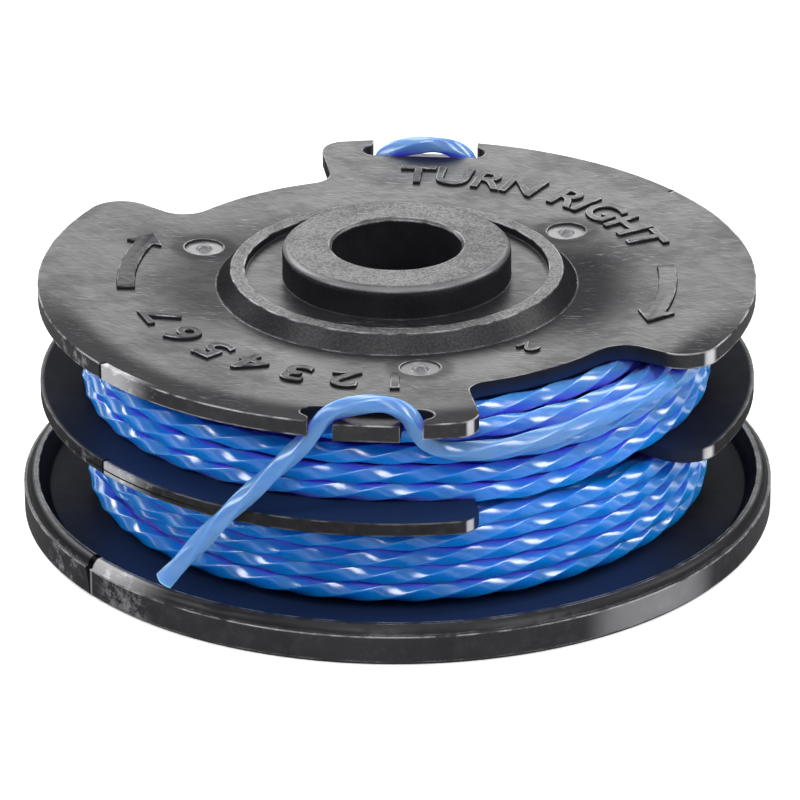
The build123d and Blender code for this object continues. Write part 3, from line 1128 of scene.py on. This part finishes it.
@dataclass(frozen=True)
class LineWinding:
    """Line wound in one chamber, laid turn by turn. Sizes in millimetres, angles in degrees.

    Attributes:
        name: Name of the piece.
        node: CAD node that it stands for.
        turns: Radius and height of each turn in the order that it was laid.
        end: Where the line leaves the winding: radius, angle and height.
        end_lift: Degrees over which it lifts off at its end.
        seed: Seed of the unevenness.
        bulge: Radius added to the lowest outer turn at the front left.
        bulge_arc: Middle and reach of the bulge.
        top_bulge: Share of the bulge that the highest outer turn has.
        sag: How far the lowest turns hang into the cut-aways.
        crown: How far the highest turns rise into the cut-aways.
        cut_aways: Middle and reach of each cut-away.
        hump: Radius added where the last step passes over an earlier one.
        tuck: How far the turn at the tuck's height lies deeper at the left.
        tuck_arc: Middle and reach of the tuck.
        tuck_height: Height of that turn.
        tuck_reach: Height over which the tuck dies away.
        seam: Angle at the rear where one turn steps over to the next.
        step_over: Degrees that a step takes.
        spacing: Length between sections.
        waves: Number of waves in its radius, and in its height.
        wave_paces: Least and most waves per turn.
        wave_sizes: Least and most height of a wave.
        line: The line that is wound.
    """

    name: str
    node: str
    turns: tuple[Band, ...]
    end: Point
    end_lift: float
    seed: int
    bulge: float = 0.0
    bulge_arc: Band = (-136.0, 58.0)
    top_bulge: float = 0.35
    sag: float = 0.0
    crown: float = 0.0
    cut_aways: tuple[Band, ...] = ((-60.0, 27.0), (120.0, 27.0))
    hump: float = 0.0
    tuck: float = 0.0
    tuck_arc: Band = (-147.0, 44.0)
    tuck_height: float = 0.0
    tuck_reach: float = 1.6
    seam: float = 90.0
    step_over: float = 56.0
    spacing: float = 1.15
    waves: int = 4
    wave_paces: Band = (1.3, 5.6)
    wave_sizes: Band = (0.03, 0.07)
    line: TwistedLine = TwistedLine()

    def shape(self, radius: float, height: float, angle: float) -> Band:
        """Shift a turn by the winding's bulge, tuck and sag.

        Args:
            radius: Radius of the turn.
            height: Height of the turn.
            angle: Angle on the turn.

        Returns:
            Radius and height there.
        """
        radii, heights = zip(*self.turns)
        outer = smooth_step((radius - min(radii)) / (max(radii) - min(radii)))
        low = smooth_step(1.0 - (height - min(heights)) / (max(heights) - min(heights)))
        bulging = outer * (self.top_bulge + (1.0 - self.top_bulge) * low)
        lift = self.bulge * swell(angle, *self.bulge_arc) * bulging
        open_side = sum(swell(angle, *arc) for arc in self.cut_aways)
        drop = (self.sag * low - self.crown * (1.0 - low)) * open_side
        near = smooth_step(1.0 - abs(height - self.tuck_height) / self.tuck_reach)
        tucked = self.tuck * swell(angle, *self.tuck_arc) * outer * near
        return radius + lift - tucked, height - drop

    def laid(self, swept: float) -> Band:
        """Place of the line by how far it has been wound.

        Args:
            swept: Degrees wound so far.

        Returns:
            Radius and height, with steps from turn to turn eased.
        """
        last = len(self.turns) - 1
        turn = min(int(swept // 360.0), last)
        within = swept - 360.0 * turn
        half = self.step_over / 2
        share, other = 1.0, turn
        if within < half and turn > 0:
            share, other = 0.5 + within / self.step_over, turn - 1
        elif within > 360.0 - half and turn < last:
            share, other = 0.5 + (360.0 - within) / self.step_over, turn + 1
        kept = smooth_step(share)
        pairs = zip(self.turns[other], self.turns[turn])
        radius, height = (start + (stop - start) * kept for start, stop in pairs)
        if last in (turn, other):
            radius += self.hump * swell(swept - 360.0 * last, 0.0, self.step_over)
        return radius, height

    def path(self) -> list[Vector]:
        """Centreline of the whole length.

        Returns:
            Points, clockwise seen from above, with seeded unevenness.
        """
        chance = random.Random(self.seed)
        limits = (self.wave_paces, (0.0, 360.0), self.wave_sizes)
        waves = [[chance.uniform(*ends) for ends in limits] for _ in range(2 * self.waves)]
        end_radius, end_angle, end_height = self.end
        whole = 360.0 * (len(self.turns) - 1) + (self.seam - end_angle) % 360.0
        count = math.ceil(math.radians(whole) * self.turns[-1][0] / self.spacing)
        points = []
        for index in range(count + 1):
            swept = whole * index / count
            angle = self.seam - swept
            radius, height = self.shape(*self.laid(swept), angle)
            swings = [size * math.sin(math.radians(pace * swept + phase)) for pace, phase, size in waves]
            radius += sum(swings[: self.waves])
            height += sum(swings[self.waves :])
            leaving = smooth_step(1.0 - (whole - swept) / self.end_lift)
            radius += (end_radius - radius) * leaving
            height += (end_height - height) * leaving
            points.append(polar(radius, angle, height))
        return points

    def end_turn(self) -> float:
        """Turn of the line's section where it leaves the winding."""
        path = self.path()
        return self.line.spin(sum((after - before).length for before, after in zip(path, path[1:])))

    def build(self, finish: bpy.types.Material) -> None:
        """Model the wound line and dress it."""
        settle(self.line.sweep(self.name, self.path()), finish, Slot.LINE, self.node)


@dataclass(frozen=True)
class LineTail:
    """Free end of the line, looped over a tab.

    Attributes:
        name: Name of the piece.
        node: CAD node that it stands for.
        route: Control points of its line, in metres.
        length: Its length in metres. Not used.
        start_turn: Turn of its section where it leaves the winding, in degrees.
        diameter: Gauge of the line in metres. Not used.
        fineness: Points of its centreline for each control point.
        line: The line that it is made of, less tightly twisted than on the winding.
    """

    name: str
    node: str
    route: tuple[Point, ...]
    length: float
    start_turn: float
    diameter: float = 0.002
    fineness: int = 8
    line: TwistedLine = TwistedLine(corner=1.09, flat=0.93, belly=2.6, full_twist=29.0)

    def centreline(self) -> list[Vector]:
        """Read points from the route's own smooth spline.

        Returns:
            The points, in metres.
        """
        curve = bpy.data.curves.new(self.name + "_route", "CURVE")
        curve.dimensions = "3D"
        curve.resolution_u = self.fineness
        spline = curve.splines.new("NURBS")
        spline.points.add(len(self.route) - 1)
        for point, place in zip(spline.points, self.route):
            point.co = (*place, 1.0)
        spline.order_u = 3
        spline.use_endpoint_u = True
        holder = bpy.data.objects.new(self.name + "_route", curve)
        bpy.context.scene.collection.objects.link(holder)
        bpy.context.view_layer.update()
        mesh = bpy.data.meshes.new_from_object(holder.evaluated_get(bpy.context.evaluated_depsgraph_get()))
        points = [vertex.co.copy() for vertex in mesh.vertices]
        bpy.data.objects.remove(holder)
        bpy.data.curves.remove(curve)
        bpy.data.meshes.remove(mesh)
        return points

    def build(self, finish: bpy.types.Material) -> None:
        """Args:
            finish: Material of the line.
        """
        points = self.centreline()
        piece = self.line.sweep(self.name, [point / MM for point in points], self.start_turn)
        settle(piece, finish, Slot.LINE, self.node)
        self.route[0]


# Radius and height of each turn in millimetres: inner turns first, outer turns last
UPPER_TURNS: tuple[Band, ...] = (
    (30.4, 17.3),
    (30.4, 19.4),
    (30.4, 21.6),
    (30.7, 24.45),
    (32.3, 22.9),
    (32.5, 20.5),
    (32.5, 18.4),
    (34.7, 17.25),
    (34.7, 19.35),
    (34.7, 21.5),
    (33.9, 23.85),
    (36.4, 23.95),
)
LOWER_TURNS: tuple[Band, ...] = (
    (30.4, 4.9),
    (30.4, 6.9),
    (30.4, 8.9),
    (30.4, 10.9),
    (30.4, 12.9),
    (32.5, 12.6),
    (32.5, 10.6),
    (32.5, 8.6),
    (32.5, 6.6),
    (32.5, 4.6),
    (34.5, 4.95),
    (34.6, 6.95),
    (34.5, 8.95),
    (34.4, 12.95),
    (34.6, 10.95),
)

# Control points of each free end in metres, from the winding to the bare end
FRONT_ROUTE: tuple[Point, ...] = (
    (0.03177, -0.01890, 0.02410),
    (0.02896, -0.02303, 0.02405),
    (0.02535, -0.02695, 0.02370),
    (0.02110, -0.03040, 0.02310),
    (0.01650, -0.03315, 0.02270),
    (0.01210, -0.03500, 0.02255),
    (0.00860, -0.03615, 0.02290),
    (0.00635, -0.03690, 0.02410),
    (0.00535, -0.03740, 0.02600),
    (0.00450, -0.03745, 0.02785),
    (0.00205, -0.03730, 0.02895),
    (-0.00100, -0.03730, 0.02870),
    (-0.00420, -0.03745, 0.02765),
    (-0.00555, -0.03765, 0.02590),
    (-0.00710, -0.03845, 0.02400),
    (-0.01040, -0.03950, 0.02100),
    (-0.01540, -0.04045, 0.01620),
    (-0.01910, -0.04090, 0.01190),
    (-0.02205, -0.04110, 0.00850),
)

REAR_ROUTE: tuple[Point, ...] = (
    (-0.03435, 0.01387, 0.01040),
    (-0.03205, 0.01850, 0.01120),
    (-0.02915, 0.02278, 0.01260),
    (-0.02570, 0.02661, 0.01470),
    (-0.02175, 0.02993, 0.01710),
    (-0.01737, 0.03267, 0.01960),
    (-0.01265, 0.03476, 0.02180),
    (-0.00870, 0.03610, 0.02310),
    (-0.00635, 0.03690, 0.02440),
    (-0.00530, 0.03740, 0.02610),
    (-0.00420, 0.03745, 0.02775),
    (-0.00080, 0.03705, 0.02880),
    (0.00240, 0.03705, 0.02890),
    (0.00475, 0.03745, 0.02770),
    (0.00575, 0.03765, 0.02595),
    (0.00720, 0.03845, 0.02400),
    (0.01050, 0.03950, 0.02100),
    (0.01550, 0.04045, 0.01620),
    (0.01920, 0.04090, 0.01190),
    (0.02215, 0.04110, 0.00850),
)

# Length of each free end in metres
FRONT_LENGTH = 0.0718
REAR_LENGTH = 0.0800


# The spool and what stands on it


@dataclass(frozen=True)
class MouldedSpool:
    """The black spool, which is the CAD node itself with its surface finished.

    Attributes:
        node: CAD node.
    """

    node: str = "spool_body"

    def dress(self, finish: bpy.types.Material) -> None:
        """Give the node its finish.

        Args:
            finish: Material of the spool.
        """
        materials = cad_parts[self.node].data.materials
        materials.clear()
        materials.append(finish)
        LOG.info("%s: dressed", self.node)


@dataclass(frozen=True)
class DishedTop:
    """Top face of the upper flange, a shallow dish. Sizes in millimetres.

    Attributes:
        radius: Radius where its height is known.
        height: Height there.
        dish: Slope in degrees.
    """

    radius: float = 29.0
    height: float = 27.4
    dish: float = 2.5

    def at(self, radius: float) -> float:
        """Height of the face at a radius."""
        return self.height + (radius - self.radius) * math.tan(math.radians(self.dish))


@dataclass(frozen=True)
class Words:
    """Characters that run clockwise with their tops outwards. Sizes in millimetres, angles in degrees.

    Attributes:
        name: Name of the piece.
        text: The characters.
        baseline: Radius of their feet.
        height: Height of a capital.
        start: Angle where they start.
        end: Angle where they end.
        thickness: Half their thickness before they are set to size, in heights of a line of text.
        rounding: Rounding of their edges, likewise.
        curve_steps: Straight steps in each of their curves.
        weld: Points nearer than this are joined, likewise.
        sharp: Edges sharper than this stay sharp.
    """

    name: str
    text: str
    baseline: float
    height: float
    start: float
    end: float
    thickness: float = 0.03
    rounding: float = 0.022
    curve_steps: int = 4
    weld: float = 0.0005
    sharp: float = 30.0

    def cut(self) -> bpy.types.Object:
        """Cut the characters.

        Returns:
            The piece, a flat row that is not yet set to size.
        """
        bpy.ops.object.select_all(action="DESELECT")
        bpy.ops.object.text_add()
        text = bpy.context.object.data
        bpy.context.object.name = self.name
        text.body = self.text
        text.extrude = self.thickness
        text.bevel_depth = self.rounding
        text.bevel_resolution = 1
        text.resolution_u = self.curve_steps
        bpy.ops.object.convert(target="MESH")
        piece = bpy.context.object
        piece.data.name = self.name
        in_edit_mode(piece, lambda: bpy.ops.mesh.remove_doubles(threshold=self.weld))
        return piece


@dataclass(frozen=True)
class RaisedSigns:
    """Raised arrows, words and numbers on the upper flange. Sizes in millimetres, angles in degrees.

    Attributes:
        relief: How far they stand up.
        root: How deep they reach into the flange.
        top: The face that they stand on.
        arrows: Name of each arrow and its turn about the spool's axis.
        arrow_radius: Radius of the arrows' middle line.
        arrow_tail: Angle where an arrow starts.
        arrow_neck: Angle where its head starts.
        arrow_tip: Angle of its tip.
        arrow_steps: Straight steps along its shaft.
        shaft_width: Width of its shaft.
        head_width: Width of its head.
        edge: Width of its rounded edges.
        edge_angle: Edges sharper than this are rounded.
        sharp: Edges sharper than this stay sharp.
        words: The words and numbers.
    """

    relief: float = 0.34
    root: float = 0.15
    top: DishedTop = DishedTop()
    arrows: tuple[tuple[str, float], ...] = (("arrow_right", 0.0), ("arrow_left", 180.0))
    arrow_radius: float = 30.8
    arrow_tail: float = 10.2
    arrow_neck: float = -14.2
    arrow_tip: float = -19.7
    arrow_steps: int = 10
    shaft_width: float = 2.1
    head_width: float = 4.4
    edge: float = 0.16
    edge_angle: float = 40.0
    sharp: float = 35.0
    words: tuple[Words, ...] = (
        Words("rear_words", "TURN RIGHT", baseline=28.3, height=4.6, start=94.0, end=22.0),
        Words("front_numbers", "1 2 3 4 5 6 7", baseline=26.2, height=4.6, start=-84.5, end=-157.0),
        Words("small_number", "2", baseline=22.9, height=2.4, start=-45.5, end=-50.0),
    )

    def arrow_outline(self) -> list[Band]:
        """Outline of an arrow.

        Returns:
            Radius and angle of each point.
        """
        shaft, head = self.shaft_width / 2, self.head_width / 2
        pace = (self.arrow_neck - self.arrow_tail) / self.arrow_steps
        sweep = [self.arrow_tail + pace * step for step in range(self.arrow_steps + 1)]
        return [
            *((self.arrow_radius + shaft, angle) for angle in sweep),
            (self.arrow_radius + head, self.arrow_neck),
            (self.arrow_radius, self.arrow_tip),
            (self.arrow_radius - head, self.arrow_neck),
            *((self.arrow_radius - shaft, angle) for angle in reversed(sweep)),
        ]

    def arrow(self, name: str, turn: float) -> bpy.types.Object:
        """Model one arrow.

        Args:
            name: Name of the piece.
            turn: Turn about the spool's axis.

        Returns:
            The piece.
        """
        outline = self.arrow_outline()
        bpy.ops.object.select_all(action="DESELECT")
        bpy.ops.mesh.primitive_circle_add(vertices=len(outline), fill_type="NGON")
        piece = bpy.context.object
        piece.name = name
        piece.data.name = name
        for vertex, (radius, angle) in zip(piece.data.vertices, outline):
            vertex.co = polar(radius, angle + turn, self.top.at(radius) - self.root) * MM
        rise = (0.0, 0.0, (self.relief + self.root) * MM)
        in_edit_mode(
            piece,
            lambda: bpy.ops.mesh.extrude_region_move(TRANSFORM_OT_translate={"value": rise}),
            lambda: bpy.ops.mesh.select_all(action="SELECT"),
            lambda: bpy.ops.mesh.normals_make_consistent(inside=False),
        )
        self.soften(piece)
        return piece

    def soften(self, piece: bpy.types.Object) -> None:
        """Round the edges of an arrow.

        Args:
            piece: The arrow.
        """
        rounding = piece.modifiers.new("soft_edges", "BEVEL")
        rounding.width = self.edge * MM
        rounding.segments = 2
        rounding.limit_method = "ANGLE"
        rounding.angle_limit = math.radians(self.edge_angle)
        choose_only(piece)
        bpy.ops.object.modifier_apply(modifier=rounding.name)
        smooth_sharp(piece, self.sharp)

    def lettering(self, words: Words) -> bpy.types.Object:
        """Model raised characters, bent round the spool's axis.

        Args:
            words: The characters and where they stand.

        Returns:
            The piece.
        """
        piece = words.cut()
        vertices = piece.data.vertices
        low, high = (
            Vector([end(vertex.co[axis] for vertex in vertices) for axis in range(3)]) for end in (min, max)
        )
        size = high - low
        for vertex in vertices:
            along, up, out = (part / whole for part, whole in zip(vertex.co - low, size))
            radius = words.baseline + words.height * up
            rise = (self.relief + self.root) * out - self.root
            angle = words.start + (words.end - words.start) * along
            vertex.co = polar(radius, angle, self.top.at(radius) + rise) * MM
        in_edit_mode(piece, lambda: bpy.ops.mesh.normals_make_consistent(inside=False))
        smooth_sharp(piece, words.sharp)
        return piece

    def build(self, finish: bpy.types.Material) -> None:
        """Model and dress all the signs.

        Args:
            finish: Material of the signs.
        """
        pieces = [self.arrow(name, turn) for name, turn in self.arrows]
        pieces += [self.lettering(words) for words in self.words]
        for piece in pieces:
            settle(piece, finish, Slot.SPOOL)


# Studio


@dataclass(frozen=True)
class Lamp:
    """A soft lamp that faces the object.

    Attributes:
        name: Name of the lamp.
        azimuth: Its turn about the object, in degrees.
        elevation: Its height above the horizon, in degrees.
        power: Its power in watts.
        size: Its width and height in metres.
        distance: From the object, in metres.
    """

    name: str
    azimuth: float
    elevation: float
    power: float
    size: Band = (0.16, 0.36)
    distance: float = 0.7


@dataclass(frozen=True)
class Studio:
    """Camera, lights, floor and world.

    Attributes:
        aim: Point that the camera and the lamps look at, in metres.
        azimuth: Camera's turn about the object, in degrees.
        elevation: Camera's height above the horizon, in degrees.
        distance: From the aim to the camera, in metres.
        lens: Focal length in millimetres.
        sensor: Width of the sensor in millimetres.
        shift: Shift of the frame.
        roll: Roll of the camera in degrees.
        lamps: The lamps.
        room: Strength of the room's even light.
        floor_size: Width of the floor in metres.
        floor_drop: How far it lies under the spool, in metres.
        floor_paint: Colour of its paint.
        floor_glow: Strength that brings it up to white where it is seen.
    """

    aim: Point = (0.0, 0.0, 0.0129)
    azimuth: float = 5.0
    elevation: float = 24.51
    distance: float = 0.688
    lens: float = 270.0
    sensor: float = 36.0
    shift: Band = (0.0034, -0.0065)
    roll: float = -0.21
    lamps: tuple[Lamp, ...] = (
        Lamp("rear_panel", 185.0, 32.0, power=6.8, size=(1.2, 0.55), distance=0.9),
        Lamp("overhead_panel", 5.0, 76.0, power=2.6, size=(0.7, 0.5), distance=0.8),
        Lamp("left_rear_box", -122.0, 36.0, power=1.9, size=(0.17, 0.36)),
        Lamp("left_box", -62.0, 36.0, power=1.7),
        Lamp("front_box", -4.0, 40.0, power=1.7),
        Lamp("right_box", 52.0, 36.0, power=2.0),
        Lamp("right_rear_box", 108.0, 36.0, power=1.9, size=(0.17, 0.36)),
    )
    room: float = 0.22
    floor_size: float = 40.0
    floor_drop: float = 0.00005
    floor_paint: Colour = (0.80, 0.80, 0.80, 1.0)
    floor_glow: float = 0.45

    def hang(self, data: bpy.types.ID, azimuth: float, elevation: float, distance: float) -> bpy.types.Object:
        """Place a camera or a lamp so that it faces the aim.

        Args:
            data: The camera's or the lamp's own data.
            azimuth: Its turn about the object from the front, in degrees.
            elevation: Its height above the horizon, in degrees.
            distance: From the aim, in metres.

        Returns:
            The placed object.
        """
        turn, rise = math.radians(azimuth), math.radians(elevation)
        back = Vector((math.sin(turn) * math.cos(rise), -math.cos(turn) * math.cos(rise), math.sin(rise)))
        look = (-back).to_track_quat("-Z", "Y").to_matrix().to_4x4()
        piece = bpy.data.objects.new(data.name, data)
        piece.matrix_world = Matrix.Translation(Vector(self.aim) + back * distance) @ look
        bpy.context.scene.collection.objects.link(piece)
        return piece

    def camera(self) -> None:
        """Place the camera at the photograph's view."""
        data = bpy.data.cameras.new("photo_view")
        data.sensor_width = self.sensor
        data.lens = self.lens
        data.shift_x, data.shift_y = self.shift
        camera = self.hang(data, self.azimuth, self.elevation, self.distance)
        camera.matrix_world = camera.matrix_world @ Matrix.Rotation(math.radians(self.roll), 4, "Z")
        bpy.context.scene.camera = camera

    def lights(self) -> None:
        """Hang the lamps."""
        for lamp in self.lamps:
            data = bpy.data.lights.new(lamp.name, "AREA")
            data.shape = "RECTANGLE"
            data.size, data.size_y = lamp.size
            data.energy = lamp.power
            self.hang(data, lamp.azimuth, lamp.elevation, lamp.distance)

    def world(self) -> None:
        """Light the room dimly and evenly."""
        world = bpy.data.worlds.new("dim_room")
        world.use_nodes = True
        graph = Graph(world.node_tree)
        room = graph.add("Background", {"Color": WHITE, "Strength": self.room})
        graph.add("OutputWorld", {"Surface": room.outputs[0]})
        bpy.context.scene.world = world

    def floor(self) -> None:
        """Lay a plain white floor that keeps the spool's soft shadow."""
        bpy.ops.object.select_all(action="DESELECT")
        bpy.ops.mesh.primitive_plane_add(size=self.floor_size, location=(0.0, 0.0, -self.floor_drop))
        floor = bpy.context.object
        floor.name = "studio_floor"
        material, graph = new_material("white_floor")
        rays = graph.add("LightPath").outputs
        seen = graph.most(rays["Is Camera Ray"], rays["Is Glossy Ray"], rays["Is Transmission Ray"])
        paint = graph.add("BsdfDiffuse", {"Color": self.floor_paint}).outputs[0]
        glow = graph.add("Emission", {"Color": WHITE, "Strength": self.floor_glow}).outputs[0]
        lit = graph.add("AddShader", {0: paint, 1: glow}).outputs[0]
        both = graph.add("MixShader", {0: seen, 1: paint, 2: lit}).outputs[0]
        graph.add("OutputMaterial", {"Surface": both})
        floor.data.materials.append(material)

    def build(self) -> None:
        """Set up the studio."""
        bpy.context.scene.view_settings.view_transform = "Standard"
        self.camera()
        self.lights()
        self.world()
        self.floor()


def leaving_point(route: Sequence[Point]) -> Point:
    """Radius in millimetres, angle in degrees and height in millimetres where a tail starts."""
    x, y, z = route[0]
    return math.hypot(x, y) / MM, math.degrees(math.atan2(y, x)), z / MM


def main() -> None:
    """Build the studio and every piece."""
    logging.basicConfig(level=logging.INFO, format="%(name)s %(message)s")
    Studio().build()
    effects = Effects(EdgeWear(), HandlingScratches(), SoftClouds(), MouldLines())
    spool_finish = BlackNylon("black_nylon").make(effects)
    sign_finish = BlackNylon(
        "raised_black_nylon", wear_amount=1.0, recess_amount=0.0, left_share=0.6, right_share=1.16
    ).make(effects)
    line_finish = BlueNylon("blue_line").make(effects)
    # The free ends: a paler copy of the line's material, painted light for the stronger light on them
    tail_finish = BlueNylon("blue_tail", pale=(0.085, 0.195, 0.38, 1.0), coat=0.65).make(effects)
    MouldedSpool().dress(spool_finish)
    RaisedSigns().build(sign_finish)
    upper = LineWinding(
        "upper_wound_line",
        "upper_line_winding",
        turns=UPPER_TURNS,
        end=leaving_point(FRONT_ROUTE),
        end_lift=60.0,
        seed=7,
        bulge=0.9,
        sag=1.0,
    )
    lower = LineWinding(
        "lower_wound_line",
        "lower_line_winding",
        turns=LOWER_TURNS,
        end=leaving_point(REAR_ROUTE),
        end_lift=32.0,
        seed=11,
        crown=0.7,
        hump=2.1,
        tuck=1.3,
        tuck_height=6.95,
    )
    upper.build(line_finish)
    lower.build(line_finish)
    LineTail("front_tail", "front_line_tail", FRONT_ROUTE, FRONT_LENGTH, upper.end_turn()).build(tail_finish)
    LineTail("rear_tail", "rear_line_tail", REAR_ROUTE, REAR_LENGTH, lower.end_turn()).build(tail_finish)


if __name__ == "__main__":
    main()
